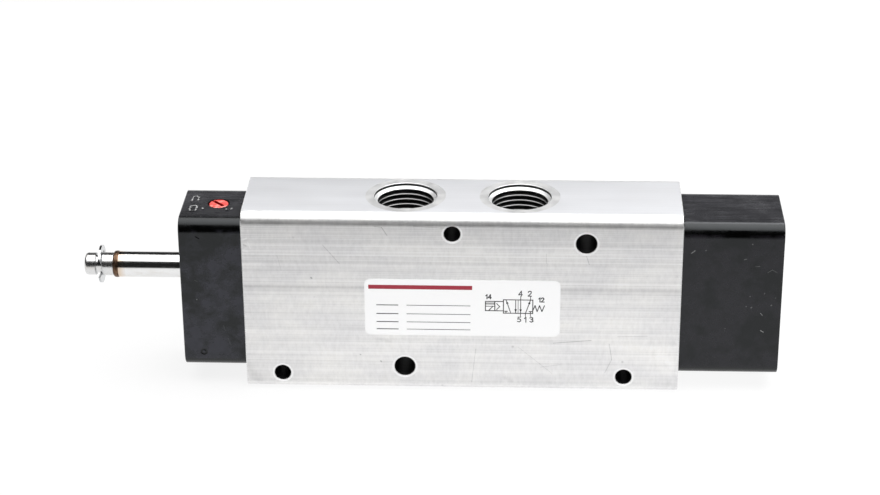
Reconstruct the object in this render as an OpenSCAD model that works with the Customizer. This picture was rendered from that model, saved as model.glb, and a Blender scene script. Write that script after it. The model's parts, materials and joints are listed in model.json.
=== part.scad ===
// Five-port, two-position solenoid pilot valve with spring return, shown without its coil.
// Millimetres. X runs from the pilot end (-X) to the spring end (+X), Z is up.
// The origin is the centre of the body's bottom face.

/* [Body] */
// Length of the aluminium body
body_l = 145; // [143:1:200]
// Depth of the body, front to back
body_w = 34; // [33.5:0.5:48]
// Height of the body
body_h = 64.5; // [64:0.5:90]
// Radius of the body's long edges
body_edge_r = 4; // [1:0.5:5]
// Bevel around both ends of the body and of the end blocks
end_bevel = 0.2; // [0.1:0.1:0.5]
// Bore that holds the cages and seals
main_bore_d = 24; // [24:0.5:26]

/* [Ports] */
// Distance between neighbouring ports along the body, alternately bottom and top
port_step = 19; // [19:0.5:24]
// Minor diameter of the port thread
thread_minor_d = 18.631; // [14.95:0.001:19]
// Major diameter of the port thread
thread_major_d = 20.955; // [16.66:0.001:21]
// Pitch of the port thread
thread_pitch = 1.814; // [1.337:0.001:1.814]
// Number of thread grooves cut in each port
thread_turns = 7; // [4:1:7]
// Diameter of the machined ring around each port
spotface_d = 26.8; // [24:0.2:28]
// Depth of the machined ring
spotface_depth = 0.1; // [0.1:0.1:0.5]
// Diameter of a port's mouth
port_mouth_d = 21; // [21:0.1:23]
// Depth of the plain wall at a port's mouth, above its countersink
port_recess = 1; // [0.5:0.1:1.5]
// Bevel around a port's mouth
mouth_bevel = 0.15; // [0.05:0.05:0.3]
// Bevel on the crests of the port thread
crest_bevel = 0.2; // [0.1:0.05:0.3]
// Diameter of the passage from a port to the main bore
passage_d = 15; // [10:0.5:16]

/* [Mounting holes] */
// Diameter of the two large through holes
large_hole_d = 7; // [5:0.5:8]
// Diameter of the three small through holes
small_hole_d = 5.5; // [4:0.5:6]
// Width of the bright chamfer on every through hole
hole_chamfer = 0.2; // [0.1:0.05:0.6]
// Upper large hole: distance from the body's middle, and above mid height
large_hole_high = [41, 23];
// Lower large hole: distance from the body's middle, and above mid height
large_hole_low = [-19, -23];
// Upper small hole: distance from the body's middle, and above mid height
small_hole_high = [-3, 26];
// Middle of the two lower small holes: distance from the body's middle, and above mid height
small_hole_low = [-3, -26];
// Spacing of the two lower small holes
small_hole_spacing = 114.5; // [112:0.5:120]

/* [Pilot head] */
// Length of the pilot head along the valve
head_l = 21.1; // [20:0.1:30]
// Depth of the pilot head, front to back
head_w = 28.6; // [28.4:0.2:33]
// Height of the pilot head
head_h = 54.5; // [52:0.5:62]
// Radius of the long edges of both end blocks
end_edge_r = 4.6; // [1.6:0.2:5]
// How far both end blocks sit above the body's mid height
end_rise = 1.3; // [0:0.1:1.5]

/* [Spring cover] */
// Length of the spring cover along the valve
cover_l = 33.2; // [31:0.2:50]
// Depth of the spring cover, front to back
cover_w = 29.6; // [28.4:0.2:33]
// Height of the spring cover
cover_h = 55.3; // [52:0.1:62]
// End wall behind the spring chamber
cover_end_wall = 5.5; // [3:0.5:10]

/* [End screws] */
// Thread diameter of the end screws
screw_d = 4; // [3:0.5:4]
// Head diameter of the end screws
screw_head_d = 7; // [5.5:0.5:7]
// Head height of the end screws
screw_head_h = 4; // [3:0.5:4]
// Key size of the end screws
screw_key = 3; // [2:0.5:3]
// Length of the screws' thread inside the body
screw_grip = 9; // [6:0.5:9]
// Distance of the end screws from the front and back of the narrower end block
screw_side_edge = 4.9; // [4.6:0.1:5.5]
// Distance of the end screws from the top and bottom of the lower end block
screw_top_edge = 5.45; // [5:0.05:7]

/* [Spool] */
// Diameter of the spool's lands
land_d = 16; // [15:0.5:17]
// Diameter of the spool between its lands
neck_d = 8; // [6:0.5:10]
// Travel of the spool
stroke = 8; // [7:0.25:8]
// How far a land reaches past the seal that it closes
land_lap = 1.5; // [1:0.25:2]
// Length of each spool seal
seal_l = 3; // [2.5:0.25:3.5]
// Length of the bushes at both ends of the seal stack
bush_l = 6; // [5:0.5:8]
// Length of spool that stands out of the spring end bush
spool_end_l = 5; // [3:0.5:6]

/* [Piston] */
// Wall of the liner that the pilot piston runs in
liner_wall = 2; // [1:0.25:3]
// Depth of the air space in the pilot head behind the piston
piston_recess = 3; // [2:0.5:3.5]
// Clearance between the piston and each of its stops
stop_gap = 0.3; // [0.2:0.05:0.5]

/* [Return spring] */
// Outer diameter of the return spring
spring_d = 14; // [12:0.5:14.5]
// Wire diameter of the return spring
spring_wire = 1.6; // [1:0.1:2]
// Turns of the return spring
spring_turns = 8; // [6:1:10]

/* [Armature tube] */
// Height of the tube's axis above the body's mid height
tube_rise = 5.7; // [5:0.1:7]
// Outer diameter of the armature tube
tube_d = 8.8; // [8:0.1:10]
// Wall of the armature tube
tube_wall = 0.7; // [0.4:0.1:1]
// Length of tube that stands out of the pilot head
tube_out = 22.7; // [20:0.1:30]
// Length of the welded ring at the tube's end
weld_l = 1.9; // [1:0.1:3]
// How far the weld stands proud of the tube
weld_proud = 0.12; // [0:0.02:0.3]
// Step from the tube down to the core's plug
plug_step = 0.45; // [0.1:0.05:0.7]
// Length of the core's plug outside the weld
plug_l = 3.8; // [2:0.1:6]
// Depth of the groove for the clip
groove_depth = 0.95; // [0.6:0.05:1.3]
// Length of the groove for the clip
groove_l = 2; // [1:0.1:3]
// Step from the core's plug down to its head
core_head_step = 0.15; // [0:0.05:0.4]
// Length of the core's head
core_head_l = 3.9; // [2:0.1:6]
// Width of the retaining clip outside the groove's floor
clip_width = 3.4; // [2:0.1:4]
// Thickness of the retaining clip
clip_t = 0.7; // [0.4:0.1:0.9]

/* [Plunger] */
// Radial clearance of the plunger in its tube
plunger_gap = 0.08; // [0.05:0.01:0.1]
// Length of the plunger
plunger_l = 16.7; // [14:0.1:18]
// Lift of the plunger off its seat
plunger_lift = 1.15; // [0.6:0.05:1.5]
// Diameter of the fixed nozzle under the plunger
nozzle_d = 3; // [2.4:0.1:3.4]
// Diameter of the nozzle's orifice and of the vent in the core
orifice_d = 1.2; // [0.8:0.1:1.5]

/* [Manual override] */
// Head diameter of the override screw
override_d = 6.4; // [6:0.1:7]
// Width of the dark recess around the override's head
override_margin = 0.5; // [0.2:0.05:0.5]
// Shaft diameter of the override screw
override_shaft_d = 4.6; // [4:0.1:4.8]
// Distance of the override from the joint between the pilot head and the body
override_x = 9.1; // [8.9:0.1:9.6]
// How far the override sits behind the valve's centre plane
override_y = 0; // [0:0.1:1.3]
// Bevel on the rim of the override's head
override_bevel = 0.2; // [0.1:0.05:0.4]
// Width of the override's slot
override_slot_w = 1.3; // [0.8:0.1:1.6]
// Depth of the override's slot
override_slot_depth = 1.2; // [0.8:0.1:1.6]
// Angle of the override's slot at rest
override_slot_angle = -47; // [-90:1:90]

/* [Pilot air] */
// Diameter of the pilot air gallery
gallery_d = 2.5; // [1.5:0.1:3]
// Distance of the gallery from the back of the pilot head
gallery_edge = 3; // [2.9:0.1:3.4]
// How far the gallery lies below the body's mid height
gallery_drop = 12.5; // [12:0.1:13]

/* [Label] */
// Width of the sticker
label_w = 64.8; // [40:0.1:70]
// Height of the sticker
label_h = 20.6; // [15:0.1:24]
// Thickness of the sticker
label_t = 0.15; // [0.1:0.05:0.3]
// Corner radius of the sticker
label_r = 2; // [0.5:0.5:4]
// Height of the sticker's centre below the body's mid height
label_drop = 0.8; // [0:0.1:4]
// How far the sticker's centre lies towards the spring end
label_shift = 0.3; // [-2:0.1:2]

/* [Fits] */
// Radial clearance of sliding pieces
slide_gap = 0.05; // [0.03:0.01:0.1]
// Radial clearance of pieces that are pushed in and stay
seat_gap = 0.03; // [0.02:0.01:0.1]
// Radial clearance of the end screws
screw_gap = 0.15; // [0.05:0.05:0.25]
// Thickness of the gaskets
gasket_t = 0.8; // [0.5:0.1:1.5]
// Rim of each end block outside its gasket
gasket_rim = 1.2; // [1:0.1:1.3]

/* [Hidden] */
$fn = 64;

// A cut runs this far past the face that it opens
over = 1;
// Places along X and Z that the pieces share
mid_z = body_h / 2;
face_x = body_l / 2;
end_z = mid_z + end_rise;
tube_z = mid_z + tube_rise;
land_r = land_d / 2;
screw_span_y = min(head_w, cover_w) - 2 * screw_side_edge;
screw_span_z = min(head_h, cover_h) - 2 * screw_top_edge;
// Play under a screw's head and around it
screw_sink = screw_head_h + 0.4;

// Port thread: flank angle 27.5 degrees from the plane across the axis
minor_r = thread_minor_d / 2;
major_r = thread_major_d / 2;
flank_run = (major_r - minor_r) * tan(27.5);
thread_flat = thread_pitch / 2 - flank_run;
recess_depth = spotface_depth + port_recess;
mouth_depth = recess_depth + (port_mouth_d / 2 - minor_r) / tan(60);
thread_end = mouth_depth + thread_flat + thread_turns * thread_pitch;
plain_end = thread_end + thread_pitch;

// Stack of cages and seals in the main bore
cage_l = port_step - seal_l;
cage_inner_d = land_d + 2.5;
stack_end = 2.5 * port_step + seal_l / 2;
bush_end = stack_end + bush_l;
end_room = face_x - bush_end;

// Spool: each land ends half a seal and the lap past the seal that it closes
piston_d = main_bore_d - 2 * liner_wall;
piston_l = end_room - stroke - 2 * stop_gap;
spool_x0 = -face_x + stop_gap + piston_l;
spool_x1 = bush_end + spool_end_l;
lap = seal_l / 2 + land_lap;
mid_land = [-port_step / 2 - lap, port_step / 2 + lap - stroke];
pilot_land_end = -1.5 * port_step + lap - stroke;
spring_land_start = 1.5 * port_step - lap;

// Spring chamber in the cover
chamber_d = spring_d + 1.6;
chamber_x1 = face_x + cover_l - cover_end_wall;
guide_flange_t = 2;
spring_x0 = spool_x1 + 0.2;
spring_x1 = chamber_x1 - guide_flange_t - 0.2;

// Armature tube, measured from the joint between the pilot head and the body
tube_inner_d = tube_d - 2 * tube_wall;
flange_d = tube_d + 5;
collar_d = tube_d + 1.2;
flange_t = 1.8;
tube_shoulder = head_l - 3.5;
flange_near = tube_shoulder - flange_t;
nozzle_far = flange_near - 1.5;
nozzle_near = 5;
nozzle_tip = nozzle_far - 0.8;
seal_cord = 1.5;
plug_d = tube_d - 2 * plug_step;
groove_d = plug_d - 2 * groove_depth;
core_head_d = plug_d - 2 * core_head_step;
clip_d = groove_d + 2 * clip_width;
tube_end = head_l + tube_out;
weld_end = tube_end + weld_l;
plug_end = weld_end + plug_l;
groove_end = plug_end + groove_l;
core_end = groove_end + core_head_l;
plunger_near = nozzle_tip + 0.05;
plunger_far = plunger_near + plunger_l;
core_face = plunger_far + plunger_lift + 0.05;
plunger_d = tube_inner_d - 2 * plunger_gap;
plunger_bore_d = 4.6;
plunger_bore_l = 8;
shading_outer_d = tube_inner_d - 1.6;
shading_inner_d = shading_outer_d - 0.8;
shading_l = 1.2;
nozzle_chamber_d = plunger_d + 0.7;

// Pilot air: a slanted hole carries it from the gallery to the nozzle's groove
feed_x = override_x;
feed_d = gallery_d - 0.4;
gallery_y = head_w / 2 - gallery_edge;
gallery_z = mid_z - gallery_drop;
feed_angle = atan2(gallery_y, tube_z - gallery_z);
feed_run = head_w / 2 / sin(feed_angle);
ball_d = gallery_d + 0.7;
ball_sink = 0.3;
// How far a ball's centre lies past the edge of the smaller hole that it closes
ball_rest = sqrt(pow(ball_d, 2) - pow(feed_d, 2)) / 2;
feed_ball_depth = (ball_d / 2 + ball_sink) / sin(feed_angle);

// Manual override: its foot stands above the nozzle's groove
head_top_z = end_z + head_h / 2;
override_foot_z = tube_z + flange_d / 2 + 0.15;
override_cross_z = override_foot_z + 5.5;
override_ring_z = override_cross_z + 2.25;
override_head_t = 2.2;
override_sink = 0.05;
override_cross_d = 1.6;

screw_l = screw_grip + head_l - screw_sink;

body_colour = [0.82, 0.83, 0.84];
steel_colour = [0.75, 0.76, 0.78];
plastic_colour = [0.14, 0.14, 0.15];
rubber_colour = [0.07, 0.07, 0.07];
brass_colour = [0.78, 0.62, 0.32];
red_colour = [0.85, 0.16, 0.14];

// ---- Shared shapes ----

// A bar along +X from x = 0, centred on Y and Z, with round long edges
module rounded_bar(l, w, h, r) {
    rotate([90, 0, 90]) linear_extrude(l) {
        square([w - 2 * r, h], center = true);
        square([w, h - 2 * r], center = true);
        for (sy = [-1, 1], sz = [-1, 1])
            translate([sy * (w / 2 - r), sz * (h / 2 - r)]) circle(r);
    }
}

// A bar as rounded_bar makes, with a bevel around both ends
module bevelled_bar(l, w, h, r, bevel) {
    // A slab that lies flat, with its four upright edges bevelled
    module slab(half, thickness) {
        linear_extrude(thickness, center = true)
            polygon([[0, half - bevel], [bevel, half], [l - bevel, half], [l, half - bevel],
                [l, bevel - half], [l - bevel, -half], [bevel, -half], [0, bevel - half]]);
    }
    slab(w / 2, h - 2 * r);
    rotate([90, 0, 0]) slab(h / 2, w - 2 * r);
    for (sy = [-1, 1], sz = [-1, 1])
        translate([0, sy * (w / 2 - r), sz * (h / 2 - r)]) rotate([0, 90, 0]) rotate_extrude()
            polygon([[0, 0], [r - bevel, 0], [r, bevel], [r, l - bevel], [r - bevel, l], [0, l]]);
}

// A round bar along +X between two places
module rod_x(x0, x1, d) {
    translate([x0, 0, 0]) rotate([0, 90, 0]) cylinder(h = x1 - x0, d = d);
}

// A tube along +X between two places
module tube_x(x0, x1, outer_d, inner_d) {
    difference() {
        rod_x(x0, x1, outer_d);
        rod_x(x0 - over, x1 + over, inner_d);
    }
}

// A ring of round cord about the X axis
module cord_ring_x(x, inner_d, cord) {
    translate([x, 0, 0]) rotate([0, 90, 0])
        rotate_extrude() translate([inner_d / 2 + cord / 2, 0]) circle(d = cord, $fn = 32);
}

// A closed coil of wire along +X between two places
module coil_x(x0, x1, outer_d, wire, turns) {
    ring_steps = 20;
    sides = 8;
    steps = turns * ring_steps;
    centre_r = (outer_d - wire) / 2;
    rise = x1 - x0 - wire;
    points = [for (i = [0 : steps], j = [0 : sides - 1])
        let (a = 360 * i / ring_steps, b = 360 * j / sides, r = centre_r + wire / 2 * cos(b))
        [x0 + wire / 2 + rise * i / steps + wire / 2 * sin(b), r * cos(a), r * sin(a)]];
    walls = [for (i = [0 : steps - 1], j = [0 : sides - 1])
        let (k = (j + 1) % sides)
        [i * sides + j, i * sides + k, (i + 1) * sides + k, (i + 1) * sides + j]];
    caps = [[for (j = [sides - 1 : -1 : 0]) j], [for (j = [0 : sides - 1]) steps * sides + j]];
    polyhedron(points, concat(walls, caps), convexity = 10);
}

// The four places of the end screws, across the valve
module at_end_screws() {
    for (sy = [-1, 1], sz = [-1, 1])
        translate([0, sy * screw_span_y / 2, end_z + sz * screw_span_z / 2]) children();
}

// Puts pieces of the armature on the tube's axis, with +X pointing away from the body
module on_tube_axis() {
    translate([-face_x, 0, tube_z]) rotate([0, 0, 180]) children();
}

module on_spool_axis() {
    translate([0, 0, mid_z]) children();
}

// ---- Body ----

// A port's whole cut, from its mouth at z = 0 down to the main bore
module port_cut() {
    grooves = [for (i = [0 : thread_turns - 1])
        let (d = mouth_depth + thread_flat + i * thread_pitch,
            crest = d + 2 * flank_run + thread_flat, bevel_rise = crest_bevel * tan(27.5))
        each [[minor_r, -d], [major_r, -d - flank_run], [major_r, -d - flank_run - thread_flat],
            [minor_r + crest_bevel, -crest + bevel_rise], [minor_r, -crest + bevel_rise - crest_bevel]]];
    mouth = [[0, over], [spotface_d / 2, over], [spotface_d / 2, -spotface_depth],
        [port_mouth_d / 2 + mouth_bevel, -spotface_depth],
        [port_mouth_d / 2, -spotface_depth - mouth_bevel],
        [port_mouth_d / 2, -recess_depth], [minor_r, -mouth_depth]];
    bottom = [[minor_r, -plain_end], [passage_d / 2, -plain_end - minor_r + passage_d / 2],
        [passage_d / 2, -mid_z], [0, -mid_z]];
    rotate_extrude() polygon(concat(mouth, grooves, bottom));
}

// A plain hole from front to back with a small chamfer at both faces
module through_hole(place, d) {
    half = body_w / 2;
    translate([place[0], 0, mid_z + place[1]]) rotate([90, 0, 0]) {
        cylinder(h = body_w + 2 * over, d = d, center = true);
        for (side = [0, 180]) rotate([side, 0, 0])
            translate([0, 0, half - hole_chamfer])
                cylinder(h = hole_chamfer + over, d1 = d, d2 = d + 2 * (hole_chamfer + over));
    }
}

module valve_body() {
    color(body_colour) difference() {
        translate([-face_x, 0, mid_z])
            bevelled_bar(body_l, body_w, body_h, body_edge_r, end_bevel);
        on_spool_axis() rod_x(-face_x - over, face_x + over, main_bore_d);
        for (i = [-1, 1]) translate([i * port_step, 0, body_h]) port_cut();
        for (i = [-2, 0, 2]) translate([i * port_step, 0, 0]) mirror([0, 0, 1]) port_cut();
        through_hole(large_hole_high, large_hole_d);
        through_hole(large_hole_low, large_hole_d);
        through_hole(small_hole_high, small_hole_d);
        for (side = [-1, 1])
            through_hole([small_hole_low[0] + side * small_hole_spacing / 2, small_hole_low[1]],
                small_hole_d);
        for (side = [-1, 1]) at_end_screws()
            rod_x(side > 0 ? face_x - screw_grip - 1 : -face_x - over,
                side > 0 ? face_x + over : -face_x + screw_grip + 1, screw_d + 2 * screw_gap);
        translate([0, gallery_y, gallery_z]) rod_x(-face_x - over, gallery_d, gallery_d);
        translate([0, body_w / 2 + over, gallery_z]) rotate([90, 0, 0]) {
            cylinder(h = body_w / 2 + over, d = feed_d);
            cylinder(h = over + ball_sink + ball_d / 2 + ball_rest, d = ball_d + 2 * seat_gap);
        }
    }
}

module name_label() {
    color("white") translate([label_shift, -body_w / 2, mid_z - label_drop])
        rotate([90, 0, 0]) linear_extrude(label_t) {
            square([label_w - 2 * label_r, label_h], center = true);
            square([label_w, label_h - 2 * label_r], center = true);
            for (sx = [-1, 1], sz = [-1, 1])
                translate([sx * (label_w / 2 - label_r), sz * (label_h / 2 - label_r)])
                    circle(label_r);
        }
}

// One ball closes the cross drilling at the body's back, the other closes the slanted feed
module gallery_ball_plugs() {
    color(steel_colour) {
        translate([0, body_w / 2 - ball_sink - ball_d / 2, gallery_z]) sphere(d = ball_d);
        at_feed_mouth() translate([0, 0, feed_ball_depth]) sphere(d = ball_d);
    }
}

// ---- Pilot head ----

// The end of the slanted feed where it leaves the pilot head's back, with +Z pointing inwards
module at_feed_mouth() {
    translate([-face_x - feed_x, 0, tube_z]) rotate([feed_angle + 180, 0, 0])
        translate([0, 0, feed_run]) rotate([180, 0, 0]) children();
}

// A block with a screw counterbore at each corner of its outer end; +X points away from the body
module end_block(l, w, h, counterbore) {
    difference() {
        bevelled_bar(l, w, h, end_edge_r, end_bevel);
        rounded_gasket_pocket(w, h);
        for (sy = [-1, 1], sz = [-1, 1])
            translate([0, sy * screw_span_y / 2, sz * screw_span_z / 2]) {
                rod_x(-over, l + over, screw_d + 2 * screw_gap);
                rod_x(l - counterbore, l + over, screw_head_d + 4 * screw_gap);
            }
    }
}

// The shallow pocket for the gasket in an end block's inner face
module rounded_gasket_pocket(w, h) {
    translate([-over, 0, 0]) rounded_bar(over + gasket_t, w - 2 * gasket_rim, h - 2 * gasket_rim,
        end_edge_r - gasket_rim);
}

// A flat gasket with its openings; +X points away from the body
module gasket(w, h, opening_d, gallery) {
    inset = 2 * gasket_rim + 0.2;
    difference() {
        rounded_bar(gasket_t, w - inset, h - inset, end_edge_r - gasket_rim);
        translate([0, 0, -end_rise]) rod_x(-over, gasket_t + over, opening_d);
        for (sy = [-1, 1], sz = [-1, 1])
            translate([0, sy * screw_span_y / 2, sz * screw_span_z / 2])
                rod_x(-over, gasket_t + over, screw_d + 2 * screw_gap);
        if (gallery)
            translate([0, -gallery_y, -end_rise - gallery_drop])
                rod_x(-over, gasket_t + over, gallery_d);
    }
}

// Raised marks by the override: a turning arrow, a nought at rest and a stroke at on
module override_marks() {
    mark_h = 0.25;
    stroke_w = 0.6;
    arrow_r = 1.35;
    translate([-face_x - 17.3, 4.2, 0]) {
        rotate_extrude(angle = 180) translate([arrow_r - stroke_w, 0]) square([stroke_w, mark_h]);
        translate([arrow_r - stroke_w, -3.1, 0]) cube([stroke_w, 3.2, mark_h]);
        translate([-arrow_r, -2.2, 0]) cube([stroke_w, 2.3, mark_h]);
        translate([stroke_w / 2 - arrow_r, -2.2, 0]) linear_extrude(mark_h)
            polygon([[-0.9, 0], [0.9, 0], [0, -1.5]]);
    }
    translate([-face_x - 17, -4.5, 0]) linear_extrude(mark_h) difference() {
        union() {
            for (end = [-1, 1]) translate([0, end]) circle(arrow_r);
            square([2 * arrow_r, 2], center = true);
        }
        for (end = [-1, 1]) translate([0, end]) circle(arrow_r - stroke_w);
        square([2 * (arrow_r - stroke_w), 2], center = true);
    }
    for (place = [[-13.8, -4.6], [-5.7, -5.2]])
        translate([-face_x + place[0], place[1], 0]) cylinder(h = mark_h, r = 0.5);
    translate([-face_x - 4.5, -5.5, 0]) cube([0.5, 1.4, mark_h]);
}

// Marks of moulding on the front face: a slanted nick, deepest at its upper edge, and the gate's ring
module moulding_marks() {
    nick = [1.6, 0.55, 0.9];
    ring_depth = 0.3;
    translate([-face_x, -head_w / 2, end_z]) {
        translate([-14.9, 0, 20.9]) rotate([0, 33, 0]) rotate([90, 0, 90])
            linear_extrude(nick.x, center = true)
                polygon([[-over, -nick.z / 2], [nick.y, nick.z / 2], [-over, nick.z / 2]]);
        translate([-14.5, ring_depth, -21.2]) rotate([90, 0, 0]) linear_extrude(ring_depth + over)
            difference() {
                circle(1.2);
                circle(0.45);
            }
    }
}

// The narrow passage from the override's cross hole to the mouth of the nozzle's bore
module override_outlet() {
    run_x = override_x - nozzle_near + 3;
    run_z = override_cross_z - tube_z - flange_d / 2 + 1.2;
    translate([-face_x - override_x, override_y, override_cross_z])
        rotate([0, 90 + atan2(run_z, run_x), 0])
            cylinder(h = norm([run_x, run_z]), d = override_cross_d);
}

module pilot_head() {
    override_seat_z = head_top_z - override_sink - override_head_t - 0.05;
    color(plastic_colour) {
        difference() {
            translate([-face_x, 0, end_z]) rotate([0, 0, 180])
                end_block(head_l, head_w, head_h, screw_sink);
            on_spool_axis() rod_x(-face_x - piston_recess, -face_x + over, piston_d - 2);
            on_tube_axis() {
                rod_x(-over, tube_shoulder, flange_d + 2 * seat_gap);
                rod_x(tube_shoulder - over, head_l + over, collar_d + 2 * seat_gap);
                rod_x(nozzle_near - 1.1, nozzle_near - 0.05, flange_d + 1.2);
            }
            // override: a shallow seat for its head, and the bore down to the nozzle's groove
            translate([-face_x - override_x, override_y, 0]) {
                translate([0, 0, override_seat_z])
                    cylinder(h = head_top_z - override_seat_z + over, d = override_d + 2 * override_margin);
                translate([0, 0, override_foot_z - 1.5])
                    cylinder(h = head_top_z - override_foot_z, d = override_shaft_d + 2 * slide_gap);
            }
            override_outlet();
            // pilot air from the gallery, through the filter, and on to the nozzle's groove
            translate([0, gallery_y, gallery_z]) {
                rod_x(-face_x - feed_x - gallery_d, -face_x + over, gallery_d);
                rod_x(-face_x - gasket_t - 2.2, -face_x - gasket_t + 0.1, 3.6);
            }
            at_feed_mouth() {
                cylinder(h = feed_run - flange_d / 2 + 1, d = feed_d);
                translate([0, 0, -ball_d])
                    cylinder(h = ball_d + feed_ball_depth + ball_rest, d = ball_d + 2 * seat_gap);
            }
            moulding_marks();
        }
        translate([0, 0, head_top_z]) override_marks();
    }
}

module pilot_head_gasket() {
    color(rubber_colour) translate([-face_x, 0, end_z]) rotate([0, 0, 180])
        gasket(head_w, head_h, piston_d + 0.6, true);
}

// One socket screw along -X, with the underside of its head at x = 0
module socket_screw() {
    difference() {
        union() {
            rod_x(0, screw_head_h, screw_head_d);
            rod_x(-screw_l, 0.5, screw_d);
        }
        translate([screw_head_h - 2, 0, 0]) rotate([0, 90, 0])
            cylinder(h = 2 + over, d = screw_key / cos(30), $fn = 6);
    }
}

module pilot_head_screws() {
    color([0.1, 0.1, 0.1]) at_end_screws()
        translate([-face_x - head_l + screw_sink, 0, 0]) rotate([0, 0, 180]) socket_screw();
}

module pilot_filter() {
    color("goldenrod") translate([0, gallery_y, gallery_z])
        rod_x(-face_x - gasket_t - 2.15, -face_x - gasket_t - 0.15, 3.5);
}

// ---- Spring cover ----

module spring_cover() {
    color(plastic_colour) difference() {
        translate([face_x, 0, end_z])
            end_block(cover_l, cover_w, cover_h, cover_l - head_l + screw_sink);
        on_spool_axis() rod_x(face_x - over, chamber_x1, chamber_d);
    }
}

module spring_cover_gasket() {
    color(rubber_colour) translate([face_x, 0, end_z])
        gasket(cover_w, cover_h, chamber_d + 2, false);
}

module spring_cover_screws() {
    color([0.1, 0.1, 0.1]) at_end_screws()
        translate([face_x + head_l - screw_sink, 0, 0]) socket_screw();
}

// ---- Stack in the main bore ----

// Cages are counted from the middle: -2 is nearest the pilot end
module spacer_cage(place) {
    windows = 6;
    window_w = 6;
    color(brass_colour) on_spool_axis() translate([place * port_step, 0, 0]) difference() {
        tube_x(-cage_l / 2, cage_l / 2, main_bore_d - 2 * seat_gap, cage_inner_d);
        for (i = [0 : windows / 2 - 1]) rotate([i * 360 / windows + 90, 0, 0])
            cylinder(h = main_bore_d + 2 * over, d = window_w, center = true);
    }
}

// Seals are counted from the pilot end: 0 to 5
module spool_seal(index) {
    x = (index - 2.5) * port_step;
    color(rubber_colour) on_spool_axis()
        tube_x(x - seal_l / 2, x + seal_l / 2, main_bore_d - 2 * seat_gap, land_d + 2 * slide_gap);
}

// A bush at one end of the stack: side is -1 at the pilot end, 1 at the spring end
module end_bush(side) {
    mid = (stack_end + bush_end) / 2;
    color(brass_colour) on_spool_axis() mirror([side < 0 ? 1 : 0, 0, 0]) difference() {
        tube_x(stack_end, bush_end, main_bore_d - 2 * seat_gap, land_d + 2 * slide_gap);
        tube_x(mid - 1, mid + 1, main_bore_d + over, main_bore_d - 3.2);
    }
}

module bush_o_ring(side) {
    mid = (stack_end + bush_end) / 2;
    cord = 1.5;
    color(rubber_colour) on_spool_axis() mirror([side < 0 ? 1 : 0, 0, 0])
        cord_ring_x(mid, main_bore_d - 2 * seat_gap - 2 * cord, cord);
}

module piston_liner() {
    color(brass_colour) on_spool_axis()
        tube_x(-face_x, -bush_end, main_bore_d - 2 * seat_gap, piston_d);
}

module spring_sleeve() {
    color(plastic_colour) on_spool_axis()
        tube_x(bush_end, face_x, main_bore_d - 2 * seat_gap, land_d + 1);
}

// ---- Spool and piston ----

module pilot_piston() {
    x0 = -face_x + stop_gap;
    mid = x0 + piston_l / 2;
    color("gainsboro") on_spool_axis() difference() {
        rod_x(x0, spool_x0, piston_d - 2 * slide_gap);
        tube_x(mid - 1.2, mid + 1.2, piston_d + over, piston_d - 4);
        rod_x(x0 - over, x0 + 2, piston_d - 9);
    }
}

module piston_seal() {
    mid = -face_x + stop_gap + piston_l / 2;
    color(rubber_colour) on_spool_axis()
        tube_x(mid - 1.15, mid + 1.15, piston_d - 2 * slide_gap, piston_d - 3.9);
}

module spool() {
    edge = 0.5;
    module land(x0, x1) {
        translate([x0, 0, 0]) rotate([0, 90, 0]) rotate_extrude()
            polygon([[0, 0], [land_r - edge, 0], [land_r, edge], [land_r, x1 - x0 - edge],
                [land_r - edge, x1 - x0], [0, x1 - x0]]);
    }
    color("silver") on_spool_axis() difference() {
        union() {
            rod_x(spool_x0 + over, spool_x1 - over, neck_d);
            land(spool_x0, pilot_land_end);
            land(mid_land[0], mid_land[1]);
            land(spring_land_start, spool_x1);
        }
        rod_x(spool_x1 - 3, spool_x1 + over, 4);
    }
}

module return_spring() {
    color(steel_colour) on_spool_axis()
        coil_x(spring_x0, spring_x1, spring_d, spring_wire, spring_turns);
}

// A flanged plug that centres the spring at the blind end of its chamber
module spring_guide() {
    color("white") on_spool_axis() {
        rod_x(chamber_x1 - guide_flange_t, chamber_x1, chamber_d - 2 * slide_gap);
        rod_x(chamber_x1 - guide_flange_t - 6, chamber_x1 - guide_flange_t + 0.5,
            spring_d - 2 * spring_wire - 0.6);
    }
}

// ---- Armature ----

module armature_tube() {
    color(steel_colour) on_tube_axis() difference() {
        union() {
            rod_x(flange_near, tube_shoulder, flange_d);
            rod_x(flange_near, head_l, collar_d);
            rod_x(flange_near, tube_end, tube_d);
        }
        rod_x(flange_near - over, tube_end + over, tube_inner_d);
    }
}

module tube_o_ring() {
    color(rubber_colour) on_tube_axis()
        cord_ring_x(nozzle_far + seal_cord / 2, flange_d - 2 * seal_cord, seal_cord);
}

// A domed bead, which falls to the plug's diameter at its outer edge
module weld_ring() {
    bead_steps = 6;
    bead_l = weld_l - 0.4;
    bead = [for (i = [0 : bead_steps])
        [tube_d / 2 + weld_proud * sin(180 * i / bead_steps), bead_l * i / bead_steps]];
    color([0.45, 0.3, 0.2]) on_tube_axis() translate([tube_end, 0, 0]) rotate([0, 90, 0])
        rotate_extrude() polygon(concat([[tube_inner_d / 2, 0]], bead,
            [[plug_d / 2, weld_l], [tube_inner_d / 2, weld_l]]));
}

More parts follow.
